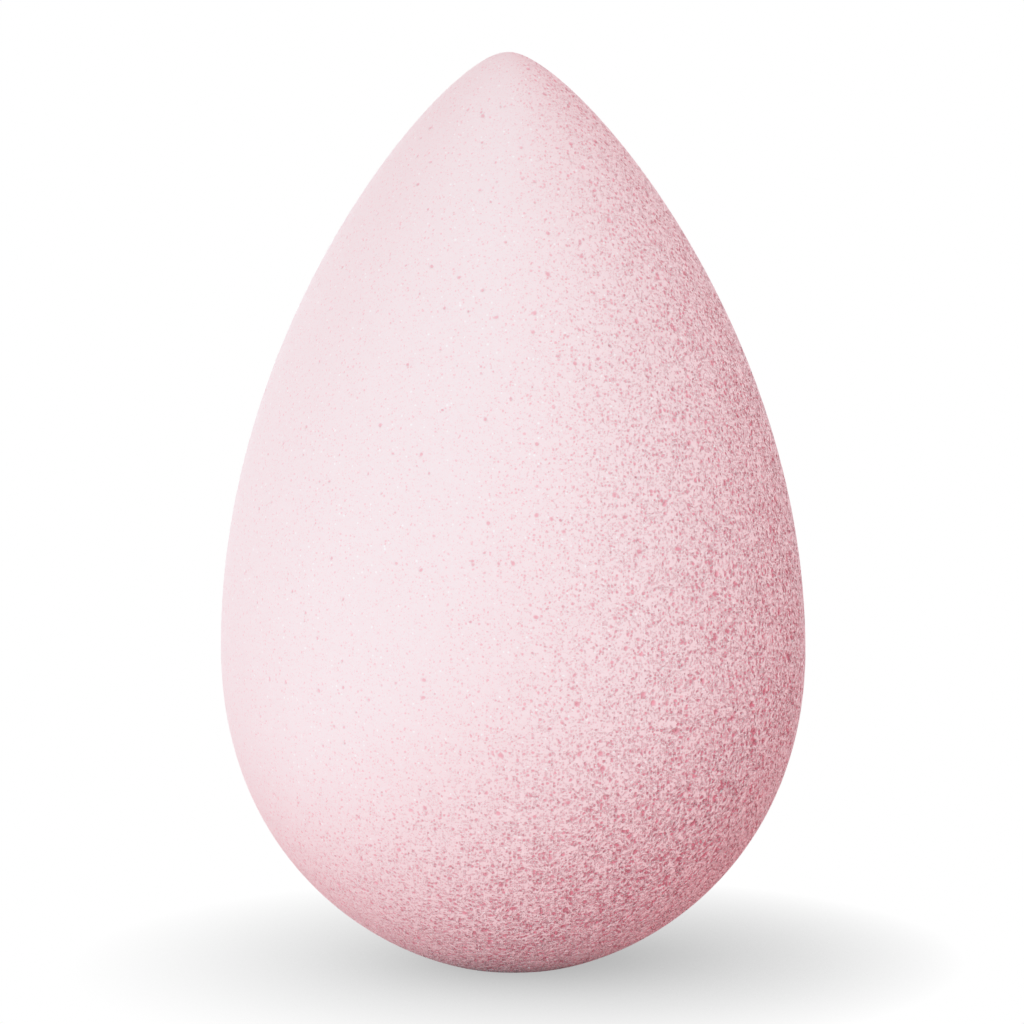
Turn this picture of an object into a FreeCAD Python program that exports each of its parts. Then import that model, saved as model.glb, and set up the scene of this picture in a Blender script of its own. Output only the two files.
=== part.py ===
import FreeCAD, Part
import os
from enum import IntEnum
import Sketcher

# A makeup sponge: one teardrop egg of soft foam, standing on its broad end with its tip up.
# Millimetres, +Z up along the egg's axis, origin in the middle of the flat foot it stands on.

SIZES = {
    # from the foot to the tip
    "overall_height": 62.8,
    # the widest ring: its diameter, and its height over the foot
    "belly_diameter": 40.0,
    "belly_height": 21.8,
    # the flat foot, where the soft broad end settles on what it stands on
    "foot_diameter": 8.0,
    # how far the outline sets out level from the tip before it turns down the flank
    "tip_reach": 4.0,
    # how far the outline sets out upright from the widest ring, upwards and downwards
    "flank_reach": 22.8,
    "belly_reach": 12.7,
    # how far the outline sets out from the foot's edge, sideways and upwards
    "base_reach": 7.7,
    "base_rise": 1.9,
}


class Spot(IntEnum):
    """The numbers by which a sketch knows the points of a line, a curve or a handle."""

    START = 1
    END = 2
    MIDDLE = 3


# The pair of numbers by which a sketch knows its origin
ORIGIN = (-1, Spot.START)


def make_sheet(doc):
    """The driving dimensions, one to a row, each under its own name."""
    sheet = doc.addObject("Spreadsheet::Sheet", "sizes")
    for row, (name, value) in enumerate(SIZES.items(), start=1):
        sheet.set(f"A{row}", name)
        sheet.set(f"B{row}", str(value))
        sheet.setAlias(f"B{row}", name)
    doc.recompute()
    return sheet


def add_line(sketch, start, end):
    """A straight line from one place to another; gives its number."""
    return sketch.addGeometry(Part.LineSegment(FreeCAD.Vector(*start, 0), FreeCAD.Vector(*end, 0)))


def add_curve(sketch, places):
    """A smooth curve drawn by four handles; gives its number and the points of the handles."""
    curve = Part.BezierCurve()
    curve.setPoles([FreeCAD.Vector(*place, 0) for place in places])
    number = sketch.addGeometry(curve.toBSpline())
    sketch.exposeInternalGeometry(number)
    return number, [(number + count, Spot.MIDDLE) for count in range(1, len(places) + 1)]


def add_dimension(sketch, kind, start, end, name, formula):
    """A dimension from one point of the sketch to another, which follows the sheet."""
    value = sketch.evalExpression(formula)
    number = sketch.addConstraint(Sketcher.Constraint(kind, *start, *end, value))
    sketch.renameConstraint(number, name)
    sketch.setExpression(f"Constraints.{name}", formula)


def draw_outline(body, sheet):
    """Half the egg's outline: down from the tip, round the belly to the foot and back up the axis."""
    sketch = body.newObject("Sketcher::SketchObject", "egg_outline")
    planes = body.Origin.OriginFeatures
    upright_plane = next(plane for plane in planes if plane.Role == "XZ_Plane")
    sketch.AttachmentSupport = (upright_plane, [""])
    sketch.MapMode = "FlatFace"

    ring_radius = sheet.belly_diameter / 2
    foot_radius = sheet.foot_diameter / 2
    flank, (tip, tip_handle, flank_handle, ring) = add_curve(sketch, [
        (0, sheet.overall_height),
        (sheet.tip_reach, sheet.overall_height),
        (ring_radius, sheet.belly_height + sheet.flank_reach),
        (ring_radius, sheet.belly_height),
    ])
    belly, (ring_below, belly_handle, base_handle, foot_edge) = add_curve(sketch, [
        (ring_radius, sheet.belly_height),
        (ring_radius, sheet.belly_height - sheet.belly_reach),
        (foot_radius + sheet.base_reach, sheet.base_rise),
        (foot_radius, 0),
    ])
    foot = add_line(sketch, (foot_radius, 0), (0, 0))
    axis = add_line(sketch, (0, 0), (0, sheet.overall_height))

    # The two curves, the foot and the upright axis close a loop that stands on the origin.
    sketch.addConstraint([
        Sketcher.Constraint("Coincident", flank, Spot.END, belly, Spot.START),
        Sketcher.Constraint("Coincident", belly, Spot.END, foot, Spot.START),
        Sketcher.Constraint("Coincident", foot, Spot.END, *ORIGIN),
        Sketcher.Constraint("Coincident", axis, Spot.START, *ORIGIN),
        Sketcher.Constraint("Coincident", axis, Spot.END, flank, Spot.START),
        Sketcher.Constraint("Horizontal", foot),
        Sketcher.Constraint("Vertical", axis),
    ])
    # The outline is level at the tip and upright at the widest ring, so the egg has no crease there.
    sketch.addConstraint([
        Sketcher.Constraint("Horizontal", *tip, *tip_handle),
        Sketcher.Constraint("Vertical", *ring, *flank_handle),
        Sketcher.Constraint("Vertical", *ring_below, *belly_handle),
    ])
    add_dimension(sketch, "DistanceY", ORIGIN, tip, "tip_height", "sizes.overall_height")
    add_dimension(sketch, "DistanceX", tip, tip_handle, "tip_level", "sizes.tip_reach")
    add_dimension(sketch, "DistanceX", ORIGIN, ring, "ring_radius", "sizes.belly_diameter / 2")
    add_dimension(sketch, "DistanceY", ORIGIN, ring, "ring_height", "sizes.belly_height")
    add_dimension(sketch, "DistanceY", ring, flank_handle, "ring_up", "sizes.flank_reach")
    add_dimension(sketch, "DistanceY", belly_handle, ring_below, "ring_down", "sizes.belly_reach")
    add_dimension(sketch, "DistanceX", ORIGIN, foot_edge, "foot_radius", "sizes.foot_diameter / 2")
    add_dimension(sketch, "DistanceX", foot_edge, base_handle, "base_sideways", "sizes.base_reach")
    add_dimension(sketch, "DistanceY", foot_edge, base_handle, "base_upwards", "sizes.base_rise")
    return sketch


def make_sponge(doc, sheet):
    """The sponge: its outline turned once round the upright axis."""
    body = doc.addObject("PartDesign::Body", "sponge_body")
    body.Label = "sponge_body"
    body.Placement = FreeCAD.Placement()
    outline = draw_outline(body, sheet)
    egg = body.newObject("PartDesign::Revolution", "egg")
    egg.Profile = outline
    egg.ReferenceAxis = (outline, ["V_Axis"])
    egg.Angle = 360
    outline.Visibility = False
    doc.recompute()
    return body


def check_model(doc, body):
    """Stops before anything is written if a step failed or the sponge is not one sound solid."""
    failed = [item.Name for item in doc.Objects if {"Invalid", "Error"} & set(item.State)]
    if failed:
        raise RuntimeError(f"these steps failed: {failed}")
    if body.Shape.isNull() or not body.Shape.isValid():
        raise RuntimeError(f"{body.Label} has no valid shape")
    if len(body.Shape.Solids) != 1 or body.Shape.Volume <= 0:
        raise RuntimeError(f"{body.Label} is not one solid")


def main():
    doc = FreeCAD.newDocument("makeup_sponge")
    sheet = make_sheet(doc)
    sponge = make_sponge(doc, sheet)
    check_model(doc, sponge)
    os.makedirs("parts", exist_ok=True)
    sponge.Shape.exportStep(f"parts/{sponge.Label}.step")
    box = sponge.Shape.BoundBox
    print(f"{sponge.Label}: {box.XLength:.2f} x {box.YLength:.2f} x {box.ZLength:.2f} mm, "
          f"z {box.ZMin:.3f} to {box.ZMax:.3f}, {sponge.Shape.Volume / 1000:.2f} cm3")


main()
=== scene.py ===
# %% [markdown]
# # A makeup sponge
# This sponge is one block of soft foam, ground to a teardrop egg and tumbled until it is smooth to
# the hand. It has no seam, no skin and no second piece, so all that the eye reads is the outline
# and the little torn bubbles of the foam. The lesson loads the solid model as a fixed frame, sets
# up a small white studio, grows the egg from a cube, opens its pores with geometry nodes and gives
# the foam a soft matte material.

# %% Load the solid model as the frame
import sys

import math
from bisect import bisect_left

import bmesh
import bpy
from mathutils import Matrix, Vector
from mathutils.geometry import interpolate_bezier


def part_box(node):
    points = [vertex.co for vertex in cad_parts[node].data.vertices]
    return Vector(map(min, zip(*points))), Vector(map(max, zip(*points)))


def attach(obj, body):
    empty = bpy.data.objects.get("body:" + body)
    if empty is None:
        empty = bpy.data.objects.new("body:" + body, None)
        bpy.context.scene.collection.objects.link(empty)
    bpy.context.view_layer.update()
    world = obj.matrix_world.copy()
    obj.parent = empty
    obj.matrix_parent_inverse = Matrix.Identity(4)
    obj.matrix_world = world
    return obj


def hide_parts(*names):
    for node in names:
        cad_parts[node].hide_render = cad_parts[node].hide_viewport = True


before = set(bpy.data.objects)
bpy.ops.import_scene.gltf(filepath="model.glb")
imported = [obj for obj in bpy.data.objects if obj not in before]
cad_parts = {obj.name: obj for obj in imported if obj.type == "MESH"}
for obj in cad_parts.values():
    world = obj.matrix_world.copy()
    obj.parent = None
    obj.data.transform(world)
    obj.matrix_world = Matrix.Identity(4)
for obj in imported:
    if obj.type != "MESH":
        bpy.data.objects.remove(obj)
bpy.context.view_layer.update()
solid_low, solid_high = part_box("sponge_body")
HEIGHT = solid_high.z - solid_low.z
RING_RADIUS = (solid_high.x - solid_low.x) / 2
MM = 0.001
print(f"solid model: {RING_RADIUS * 2 / MM:.1f} mm across, {HEIGHT / MM:.1f} mm tall")

# %% [markdown]
# ## The camera
# The photograph looks almost straight at the side of the sponge, a little from above, through a
# long lens that hardly shows perspective. The distance follows from one fact that can be measured
# in the picture: how many pixels the widest ring spans. The small roll matches the lean of the
# sponge's axis. Aiming the camera, rather than shifting its lens, keeps other views simple.

# %% Place the camera
PICTURE_SIDE = 1024
RING_SPAN_PIXELS = 586
LENS_MM = 250
SENSOR_MM = 36
CAMERA_ELEVATION = 8  # degrees
CAMERA_ROLL = 0.009  # radians
AIM_HEIGHT = 31.27 * MM


def direction(azimuth, elevation):
    """The way from the sponge to something; azimuth 0 is the camera's side, and 90 the right."""
    turn = math.radians(azimuth)
    rise = math.radians(elevation)
    return Vector((math.sin(turn) * math.cos(rise), -math.cos(turn) * math.cos(rise), math.sin(rise)))


def aim_from(place, target, roll=0.0):
    """The matrix of a camera or lamp that stands at a place and looks at a target."""
    turned = (target - place).to_track_quat("-Z", "Y").to_matrix().to_4x4()
    return Matrix.Translation(place) @ turned @ Matrix.Rotation(roll, 4, "Z")


aim = Vector((0, 0, AIM_HEIGHT))
view_width = 2 * RING_RADIUS * PICTURE_SIDE / RING_SPAN_PIXELS
camera_distance = view_width * LENS_MM / SENSOR_MM
camera = bpy.data.objects.new("camera", bpy.data.cameras.new("camera"))
camera.data.lens = LENS_MM
camera.data.sensor_width = SENSOR_MM
camera.matrix_world = aim_from(
    aim + camera_distance * direction(0, CAMERA_ELEVATION), aim, -CAMERA_ROLL)
bpy.context.scene.collection.objects.link(camera)
bpy.context.scene.camera = camera
print(f"camera {camera_distance:.3f} m away, seeing {view_width / MM:.1f} mm across")

# %% [markdown]
# ## The white studio
# The sponge stands on a floor under an open sky, and the camera sees both as plain white. What they
# send to the sponge is another matter. Light that enters pale foam wanders about inside and comes
# out again pink, so the hollows of a real sponge glow. Following all those paths would be slow and
# leave noise, so the sky and the floor stand in for them: to all light that the camera doesn't see
# they are pink. A Light Path node tells the two kinds of light apart.
#
# The shadow on the floor is drawn by an Ambient Occlusion node. It asks how much of the space above
# a place is free. That space leans to the left and the front, so the shadow falls the other way.

# %% Add nodes in one call
def add_node(tree, kind, values=None, **settings):
    """A new node with its settings; each input named in values gets a number or a link."""
    node = tree.nodes.new(kind)
    for name, setting in settings.items():
        setattr(node, name, setting)
    for socket, value in (values or {}).items():
        if isinstance(value, bpy.types.NodeSocket):
            tree.links.new(value, node.inputs[socket])
        else:
            node.inputs[socket].default_value = value
    return node


def seen_directly(tree):
    """1 for a ray that the camera sees, straight or in gloss or glass, and 0 for all other light."""
    path = add_node(tree, "ShaderNodeLightPath")
    gloss = add_node(tree, "ShaderNodeMath", operation="MAXIMUM", values={
        0: path.outputs["Is Glossy Ray"], 1: path.outputs["Is Transmission Ray"]})
    seen = add_node(tree, "ShaderNodeMath", operation="MAXIMUM", values={
        0: path.outputs["Is Camera Ray"], 1: gloss.outputs[0]})
    return seen.outputs[0]


# %% Make the sky
SKY_PINK = (0.63, 0.22, 0.245)

world = bpy.data.worlds.new("white_sky")
bpy.context.scene.world = world
world.use_nodes = True
sky_tree = world.node_tree
sky_tree.nodes.clear()
pink_sky = add_node(sky_tree, "ShaderNodeBackground", values={"Color": (*SKY_PINK, 1), "Strength": 1.0})
white_sky = add_node(sky_tree, "ShaderNodeBackground", values={"Color": (1, 1, 1, 1), "Strength": 1.0})
sky = add_node(sky_tree, "ShaderNodeMixShader", values={
    0: seen_directly(sky_tree), 1: pink_sky.outputs[0], 2: white_sky.outputs[0]})
add_node(sky_tree, "ShaderNodeOutputWorld", values={"Surface": sky.outputs[0]})
print(f"sky of {len(sky_tree.nodes)} nodes")

# %% Lay the floor
FLOOR_SIDE = 4.0
FLOOR_PINK = (0.95, 0.67, 0.69)
SHADOW_GREY = 0.45
SHADOW_REACH = 17 * MM
SHADOW_LEAN = (-0.3, -0.2, 0.93)
SHADOW_SAMPLES = 8

floor_paint = bpy.data.materials.new("studio_floor")
floor_paint.use_nodes = True
floor_tree = floor_paint.node_tree
floor_tree.nodes.clear()
pink_floor = add_node(floor_tree, "ShaderNodeBsdfDiffuse", values={"Color": (*FLOOR_PINK, 1)})
lean = add_node(floor_tree, "ShaderNodeCombineXYZ", values=dict(enumerate(SHADOW_LEAN)))
free_space = add_node(floor_tree, "ShaderNodeAmbientOcclusion", samples=SHADOW_SAMPLES, values={
    "Distance": SHADOW_REACH, "Normal": lean.outputs[0]})
brightness = add_node(floor_tree, "ShaderNodeMapRange", values={
    "Value": free_space.outputs["AO"], "To Min": SHADOW_GREY, "To Max": 1.0})
white_floor = add_node(floor_tree, "ShaderNodeEmission", values={"Strength": brightness.outputs[0]})
floor_look = add_node(floor_tree, "ShaderNodeMixShader", values={
    0: seen_directly(floor_tree), 1: pink_floor.outputs[0], 2: white_floor.outputs[0]})
add_node(floor_tree, "ShaderNodeOutputMaterial", values={"Surface": floor_look.outputs[0]})

floor_shape = bmesh.new()
bmesh.ops.create_grid(floor_shape, x_segments=1, y_segments=1, size=FLOOR_SIDE / 2)
floor_mesh = bpy.data.meshes.new("studio_floor")
floor_shape.to_mesh(floor_mesh)
floor_shape.free()
floor_mesh.materials.append(floor_paint)
floor = bpy.data.objects.new("studio_floor", floor_mesh)
bpy.context.scene.collection.objects.link(floor)
print(f"floor {FLOOR_SIDE:.0f} m wide")

# %% [markdown]
# ## The lamps
# One small lamp beside the camera, a little to its left, parts the light side of the photograph
# from the dark one and draws the relief of the pores. Large soft lamps on the left and the right
# brighten the edges, and two more behind light the back as plainly as the front. All of them are
# short of red, since the pink sky and floor bring the red. Where lamp and sky both reach, the light
# adds up to white, and where only the sky does, as in a hollow, it stays pink.

# %% Hang the lamps
LAMP_DISTANCE = 0.45
LAMP_TINT = (0.44, 1.0, 0.98)
# name: azimuth and elevation in degrees, side in metres, watts
LAMPS = {
    "key": (-17, 3, 0.14, 1.14),
    "left": (-100, 25, 0.30, 0.62),
    "right": (74, 43, 0.30, 0.85),
    "back_right": (140, 14, 0.30, 0.62),
    "back": (-155, 14, 0.30, 0.90),
}
for name, (azimuth, elevation, side, watts) in LAMPS.items():
    lamp = bpy.data.objects.new(name, bpy.data.lights.new(name, "AREA"))
    lamp.data.size = side
    lamp.data.energy = watts
    lamp.data.color = LAMP_TINT
    lamp.matrix_world = aim_from(aim + LAMP_DISTANCE * direction(azimuth, elevation), aim)
    bpy.context.scene.collection.objects.link(lamp)
print(f"{len(LAMPS)} lamps")

# %% [markdown]
# ## The outline of the egg
# The outline is two smooth curves that meet at the widest ring: one up to the blunt tip, one down
# to the small flat foot. They are the same two curves as in the solid model, drawn by the same
# handles. Each place on the outline is stored with the share of the egg's skin that lies above it,
# so that the mesh can be laid over the egg evenly.

# %% Trace the outline
RING_HEIGHT = 21.8 * MM
FOOT_RADIUS = 4.0 * MM
TIP_REACH = 4.0 * MM
FLANK_REACH = 22.8 * MM
BELLY_REACH = 12.7 * MM
BASE_REACH = 7.7 * MM
BASE_RISE = 1.9 * MM
CURVE_STEPS = 400
FOOT_STEPS = 20


def trace_outline():
    """Places (radius, height) from the tip to the middle of the foot, along the two curves."""
    flank = interpolate_bezier(
        (0, HEIGHT), (TIP_REACH, HEIGHT), (RING_RADIUS, RING_HEIGHT + FLANK_REACH),
        (RING_RADIUS, RING_HEIGHT), CURVE_STEPS)
    belly = interpolate_bezier(
        (RING_RADIUS, RING_HEIGHT), (RING_RADIUS, RING_HEIGHT - BELLY_REACH),
        (FOOT_RADIUS + BASE_REACH, BASE_RISE), (FOOT_RADIUS, 0), CURVE_STEPS)
    foot = [Vector((FOOT_RADIUS * (1 - step / FOOT_STEPS), 0)) for step in range(1, FOOT_STEPS + 1)]
    return [*flank, *belly[1:], *foot]


def skin_above(outline):
    """For each place on the outline, the share of the whole skin that lies above it."""
    areas = [0.0]
    for above, below in zip(outline, outline[1:]):
        areas.append(areas[-1] + math.pi * (above.x + below.x) * (below - above).length)
    return [area / areas[-1] for area in areas]


outline = trace_outline()
shares = skin_above(outline)
print(f"outline of {len(outline)} places")

# %% [markdown]
# ## The egg, grown from a cube
# A sphere made of rings has pinched poles, and one of them would sit right on the tip. A cube with
# finely divided sides has none: pushed out to a ball and then drawn over the outline, it covers the egg
# with near-square faces all over. The cube also brings a map of its six sides. A few rounds of the
# Subdivision Surface modifier then give the mesh the fineness that pores need.

# %% Find a place on the egg
def place_on_egg(corner):
    """Where a point of the cube from -1 to 1 lies on the egg."""
    ball = Vector([math.tan(part * math.pi / 4) for part in corner]).normalized()
    share = min(max((1 - ball.z) / 2, 0.0), 1.0)
    below = min(max(bisect_left(shares, share), 1), len(shares) - 1)
    part = (share - shares[below - 1]) / max(shares[below] - shares[below - 1], sys.float_info.epsilon)
    radius, height = outline[below - 1].lerp(outline[below], part)
    across = Vector((ball.x, ball.y))
    if across.length > 0:
        across.normalize()
    return Vector((radius * across.x, radius * across.y, height))


# %% Shape the egg
CAGE_SPLITS = 48
FINE_LEVELS = 3

egg_shape = bmesh.new()
egg_shape.loops.layers.uv.new("OFBake")
bmesh.ops.create_cube(egg_shape, size=2.0, calc_uvs=True)
bmesh.ops.subdivide_edges(
    egg_shape, edges=egg_shape.edges[:], cuts=CAGE_SPLITS - 1, use_grid_fill=True)
for vertex in egg_shape.verts:
    vertex.co = place_on_egg(vertex.co)
bmesh.ops.recalc_face_normals(egg_shape, faces=egg_shape.faces[:])
egg_mesh = bpy.data.meshes.new("foam_sponge")
egg_shape.to_mesh(egg_mesh)
egg_shape.free()
for face in egg_mesh.polygons:
    face.use_smooth = True
sponge = bpy.data.objects.new("foam_sponge", egg_mesh)
bpy.context.scene.collection.objects.link(sponge)

fine = sponge.modifiers.new("fine", "SUBSURF")
fine.levels = FINE_LEVELS
fine.render_levels = FINE_LEVELS
print(f"cage of {len(egg_mesh.polygons)} faces, {4 ** FINE_LEVELS} times as many when subdivided")

# %% [markdown]
# ## The open pores
# Foam is a crowd of bubbles. Grinding cuts through them at every depth, so the surface shows some
# as bowls and some as pinholes, with their walls between. A Voronoi texture is just such a crowd:
# each point of the surface measures how far it is from the middle of the nearest bubble, and where
# that is less than the bubble's own size, the surface is inside it and sinks. A bubble whose size
# comes out below nothing isn't cut at all, so a low least size leaves smooth foam between pores.
#
# Voronoi bubbles stand roughly in rows, which would show as rings on a round surface. A noise that
# stirs the places first breaks the rows up, and no pore stays quite round.

# %% Cut bubbles
CLOSED_CUT = 0.34  # how much of a bubble's size shows where the foam is quite closed
OPEN_CUT = 0.60  # how much more of it shows at an openness of 1
SMALLEST_SIZE = 0.01
SWIRL_MM = 2.4
SWIRL_DETAIL = 4.0
SWIRL_PUSH_MM = 0.9


def maths(tree, operation, *values, clamp=False):
    """One Math node; values are numbers or sockets."""
    node = add_node(tree, "ShaderNodeMath", dict(enumerate(values)), operation=operation)
    node.use_clamp = clamp
    return node.outputs[0]


def vectors(tree, operation, *values):
    """One Vector Math node; values are vectors or sockets."""
    return add_node(tree, "ShaderNodeVectorMath", dict(enumerate(values)), operation=operation).outputs


def bubble_pits(tree, place, bubbles, openness_and_shade):
    """0 on the surface to 1 at the bottom of a cut bubble."""
    spacing, least, most = bubbles[:3]
    cells = add_node(tree, "ShaderNodeTexVoronoi", {"Vector": place, "Scale": 1 / spacing})
    dice = vectors(tree, "DOT_PRODUCT", cells.outputs["Color"], (1, 0, 0))["Value"]
    size = maths(tree, "MULTIPLY_ADD", dice, most - least, least)
    shown = maths(tree, "MULTIPLY_ADD", openness_and_shade, OPEN_CUT, CLOSED_CUT)
    cut = maths(tree, "MULTIPLY", maths(tree, "MAXIMUM", size, SMALLEST_SIZE), shown)
    reach = maths(tree, "DIVIDE", cells.outputs["Distance"], cut)
    bowl = maths(tree, "SUBTRACT", 1.0, maths(tree, "MULTIPLY", reach, reach), clamp=True)
    return maths(tree, "MULTIPLY", bowl, maths(tree, "SUBTRACT", 2.0, bowl))


def stirred(tree, place):
    """A place in mm, pushed about by a noise."""
    swirl = add_node(tree, "ShaderNodeTexNoise", {
        "Vector": place, "Scale": 1 / SWIRL_MM, "Detail": SWIRL_DETAIL})
    centred = vectors(tree, "SUBTRACT", swirl.outputs["Color"], (0.5, 0.5, 0.5))[0]
    pushed = vectors(tree, "MULTIPLY", centred, (SWIRL_PUSH_MM,) * 3)[0]
    return vectors(tree, "ADD", place, pushed)[0]


# %% [markdown]
# In the photograph the foam is nearly smooth at the front left and more and more open towards the right
# and the underside. So each place gets an openness from the way it faces, and the bubbles grow with it.
# Wide and middle bubbles are sunk into the mesh, with a little grain all over, and the finest are left
# to the material, where they cost no faces. The group keeps two things for the material: the place
# before it sank, in mm, and the openness, which the material also uses as the mask of painted shade on
# the right and the underside.

# %% Sink the pores with geometry nodes
# spacing in mm, least and most size of a bubble as shares of the spacing, depth in mm
MIDDLE_BUBBLES = (0.25, -0.15, 0.74, 0.055)
WIDE_BUBBLES = (0.85, -0.1, 0.36, 0.11)
GRAIN_MM = 0.25
GRAIN_DETAIL = 2.0
GRAIN_ROUGHNESS = 0.6
GRAIN_DEPTH_MM = 0.02
# towards this side the foam is more open, and its colour carries painted shade: pinker ridges and
# stronger pits
OPEN_SHADED_SIDE = Vector((0.58, 0.22, -0.36))  # the way in which the foam gets more open
UNDERSIDE_MORE = 0.34
SIDE_OPEN = 0.70  # the openness where the foam faces across that way
LEAST_OPEN = 0.28
MOST_OPEN = 1.2

pores = bpy.data.node_groups.new("foam_pores", "GeometryNodeTree")
pores.interface.new_socket("Geometry", in_out="INPUT", socket_type="NodeSocketGeometry")
pores.interface.new_socket("Geometry", in_out="OUTPUT", socket_type="NodeSocketGeometry")
group_in = add_node(pores, "NodeGroupInput")
position = add_node(pores, "GeometryNodeInputPosition")
in_mm = vectors(pores, "MULTIPLY", position.outputs[0], (1 / MM,) * 3)[0]

normal = add_node(pores, "GeometryNodeInputNormal").outputs[0]
sideways = vectors(pores, "DOT_PRODUCT", normal, OPEN_SHADED_SIDE)["Value"]
upwards = vectors(pores, "DOT_PRODUCT", normal, (0, 0, 1))["Value"]
facing = maths(pores, "MULTIPLY_ADD", maths(pores, "MINIMUM", upwards, 0.0), -UNDERSIDE_MORE, sideways)
# this openness is also the mask of painted shade on the right and the underside
opened = maths(pores, "MAXIMUM", maths(pores, "ADD", facing, SIDE_OPEN), LEAST_OPEN)
openness_and_shade = maths(pores, "MINIMUM", opened, MOST_OPEN)

stirred_mm = stirred(pores, in_mm)
middle_pits = bubble_pits(pores, stirred_mm, MIDDLE_BUBBLES, openness_and_shade)
wide_pits = bubble_pits(pores, stirred_mm, WIDE_BUBBLES, openness_and_shade)
grain = add_node(pores, "ShaderNodeTexNoise", {
    "Vector": in_mm, "Scale": 1 / GRAIN_MM, "Detail": GRAIN_DETAIL, "Roughness": GRAIN_ROUGHNESS})
middle_most = maths(pores, "MULTIPLY", openness_and_shade, MIDDLE_BUBBLES[3])
middle_depth = maths(pores, "MULTIPLY", middle_pits, middle_most)
wide_depth = maths(pores, "MULTIPLY", wide_pits, WIDE_BUBBLES[3])
grain_depth = maths(pores, "MULTIPLY", grain.outputs[0], GRAIN_DEPTH_MM)
depth = maths(pores, "ADD", maths(pores, "ADD", middle_depth, wide_depth), grain_depth)
inwards = add_node(pores, "ShaderNodeVectorMath", {
    0: normal, "Scale": maths(pores, "MULTIPLY", depth, -MM)}, operation="SCALE")

with_places = add_node(pores, "GeometryNodeStoreNamedAttribute", {
    "Geometry": group_in.outputs[0], "Name": "place_mm", "Value": in_mm},
    data_type="FLOAT_VECTOR", domain="POINT")
with_both = add_node(pores, "GeometryNodeStoreNamedAttribute", {
    "Geometry": with_places.outputs[0], "Name": "openness_and_shade", "Value": openness_and_shade},
    data_type="FLOAT", domain="POINT")
sunk = add_node(pores, "GeometryNodeSetPosition", {
    "Geometry": with_both.outputs[0], "Offset": inwards.outputs[0]})
add_node(pores, "NodeGroupOutput", {0: sunk.outputs[0]})
opening = sponge.modifiers.new("foam_pores", "NODES")
opening.node_group = pores
print(f"pores sunk by {len(pores.nodes)} nodes")

# %% [markdown]
# ## The foam's finish
# The foam is a pale matte pink. The deeper a pore is, the redder it looks, because its light has come
# through more foam, and that shade is painted into the colour: it goes from the ridges to a pink in
# shallow pits and a deep pink in the deepest. Where the foam is open, towards the right and the
# underside, the ridges are painted a little pinker and the pits more strongly, which is painted shade
# on that side. The ridges have fine flecks, and here and there a white speck shows: a painted glint, a
# bit of torn wall that catches the light.

# %% Colour the foam
FINE_BUBBLES = (0.135, 0.08, 0.9, 0.055)
PALE_PINK = (0.93, 0.86, 0.88, 1)
# painted shade: the ridges' colour towards the right and the underside
SHADED_SIDE_PINK = (0.965, 0.73, 0.76, 1)
# painted shade in the pits: redder and darker the deeper they are
PIT_SHADE_PINK = (0.94, 0.44, 0.53, 1)
DEEP_PIT_SHADE_PINK = (0.85, 0.29, 0.37, 1)
FINE_SHARE = 0.58
SHALLOW_POWER = 0.7
CLOSED_WIDE_SHARE = 0.4
OPEN_WIDE_SHARE = 0.55
FLECK_MM = 0.1
FLECK_DETAIL = 1.0
FLECK_SHARE = 0.7
# painted glints: white specks where torn walls catch the light
GLINT_SPECKS = (0.30, -0.8, 0.36)
GLINT_WHITE = (1.0, 0.97, 0.98, 1)
GLINT_SHARE = 0.8


def mix_colours(tree, share, first, second):
    """One Mix node for colours, which are its inputs 6 and 7; a colour is four numbers or a socket."""
    mix = add_node(tree, "ShaderNodeMix", {"Factor": share, 6: first, 7: second}, data_type="RGBA")
    return mix.outputs[2]


foam = bpy.data.materials.new("pink_foam")
foam.use_nodes = True
tree = foam.node_tree
shader = tree.nodes["Principled BSDF"]
place = add_node(tree, "ShaderNodeAttribute", attribute_name="place_mm").outputs["Vector"]
# the openness, read here as the mask of painted shade on the right and the underside
openness_and_shade = add_node(tree, "ShaderNodeAttribute", attribute_name="openness_and_shade").outputs["Fac"]
stirred_mm = stirred(tree, place)
fine_pits = bubble_pits(tree, stirred_mm, FINE_BUBBLES, openness_and_shade)
middle_pits = bubble_pits(tree, stirred_mm, MIDDLE_BUBBLES, openness_and_shade)
wide_pits = bubble_pits(tree, stirred_mm, WIDE_BUBBLES, openness_and_shade)

# how strongly the painted pit shade shows: by depth, and more towards the right and the underside
small_pits = maths(tree, "MAXIMUM", maths(tree, "MULTIPLY", fine_pits, FINE_SHARE), middle_pits)
shallow = maths(tree, "MULTIPLY", small_pits, maths(tree, "POWER", openness_and_shade, SHALLOW_POWER))
wide_share = maths(tree, "MULTIPLY_ADD", openness_and_shade, OPEN_WIDE_SHARE, CLOSED_WIDE_SHARE)
pit_shade = maths(tree, "MAXIMUM", shallow, maths(tree, "MULTIPLY", wide_pits, wide_share))

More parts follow.
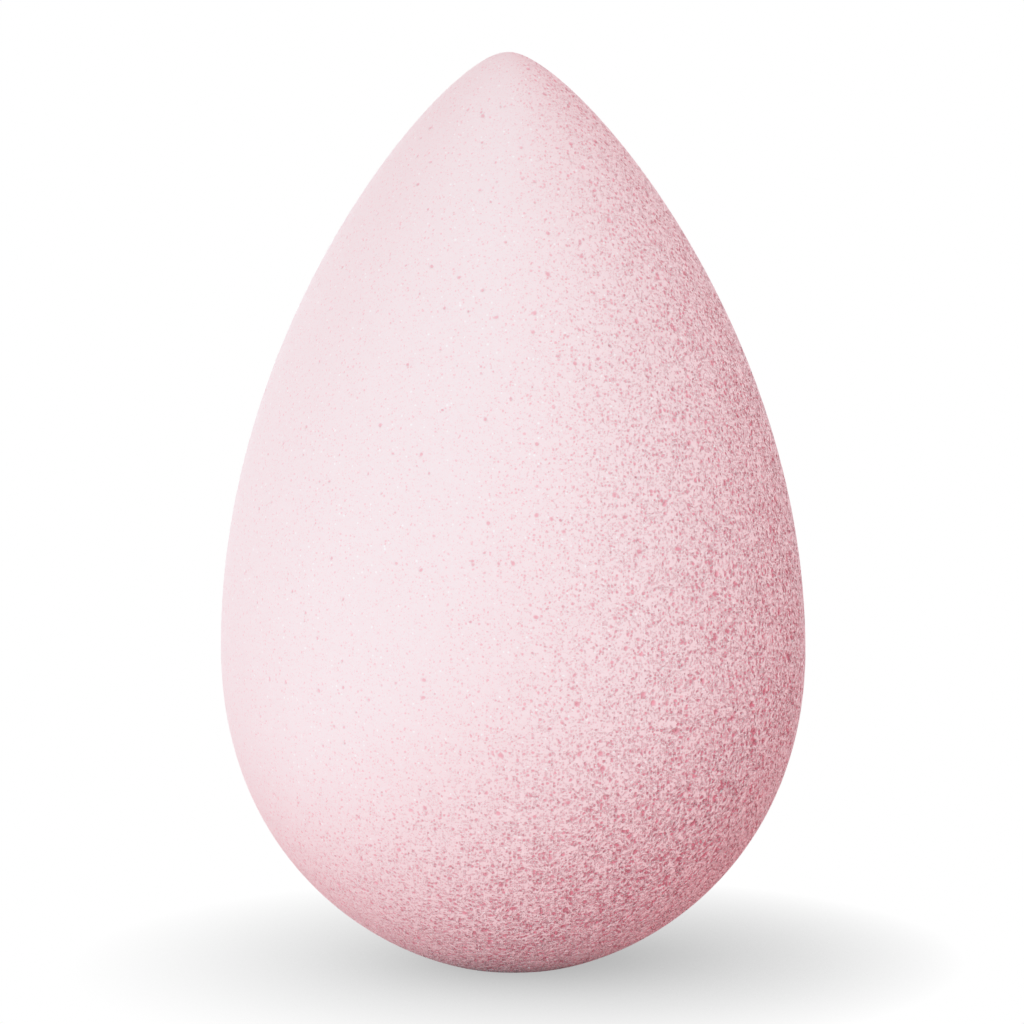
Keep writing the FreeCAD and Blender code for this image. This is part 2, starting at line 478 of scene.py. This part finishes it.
flecks = add_node(tree, "ShaderNodeTexNoise", {
    "Vector": place, "Scale": 1 / FLECK_MM, "Detail": FLECK_DETAIL}).outputs[0]
fleck_share = maths(tree, "MULTIPLY_ADD", flecks, FLECK_SHARE, -FLECK_SHARE / 2)
# painted shade on the ridges towards the right and the underside, plus random flecks
ridge_shade_and_flecks = maths(tree, "ADD", openness_and_shade, fleck_share)
shaded_ridges = mix_colours(tree, ridge_shade_and_flecks, PALE_PINK, SHADED_SIDE_PINK)
# the painted shade of the pits, laid over the ridges
shaded_pits = mix_colours(tree, pit_shade, PIT_SHADE_PINK, DEEP_PIT_SHADE_PINK)
shaded_foam = mix_colours(tree, pit_shade, shaded_ridges, shaded_pits)
# painted glints: white specks mixed into the colour
glints = bubble_pits(tree, place, GLINT_SPECKS, 1.0)
with_glints = mix_colours(tree, maths(tree, "MULTIPLY", glints, GLINT_SHARE), shaded_foam, GLINT_WHITE)
tree.links.new(with_glints, shader.inputs["Base Color"])
print(f"foam coloured by {len(tree.nodes)} nodes")

# %% [markdown]
# The mesh holds the wide and middle pores, but their edges are sharper than its faces. A Bump node
# sharpens the middle ones and adds the finest, more strongly the more open the foam is. Foam has
# hardly any sheen, so the surface is rough and reflects little.

# %% Give the foam its relief
BUMP = 1.2
FOAM_ROUGHNESS = 0.9
FOAM_SHEEN = 0.2

fine_depth = maths(tree, "MULTIPLY", fine_pits, FINE_BUBBLES[3])
pit_depth = maths(tree, "MULTIPLY_ADD", middle_pits, MIDDLE_BUBBLES[3], fine_depth)
downwards = maths(tree, "MULTIPLY", maths(tree, "MULTIPLY", openness_and_shade, openness_and_shade), -1.0)
pit_height = maths(tree, "MULTIPLY", pit_depth, downwards)
bump = add_node(tree, "ShaderNodeBump", {"Strength": BUMP, "Distance": MM, "Height": pit_height})
tree.links.new(bump.outputs[0], shader.inputs["Normal"])
shader.inputs["Roughness"].default_value = FOAM_ROUGHNESS
shader.inputs["Specular IOR Level"].default_value = FOAM_SHEEN
egg_mesh.materials.append(foam)
print(f"finest pores {FINE_BUBBLES[0]} mm apart, in the material")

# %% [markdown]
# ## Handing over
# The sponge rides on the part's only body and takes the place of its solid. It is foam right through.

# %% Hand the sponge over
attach(sponge, "root")
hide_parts("sponge_body")

bpy.context.scene.view_settings.view_transform = "Standard"
bpy.context.view_layer.update()
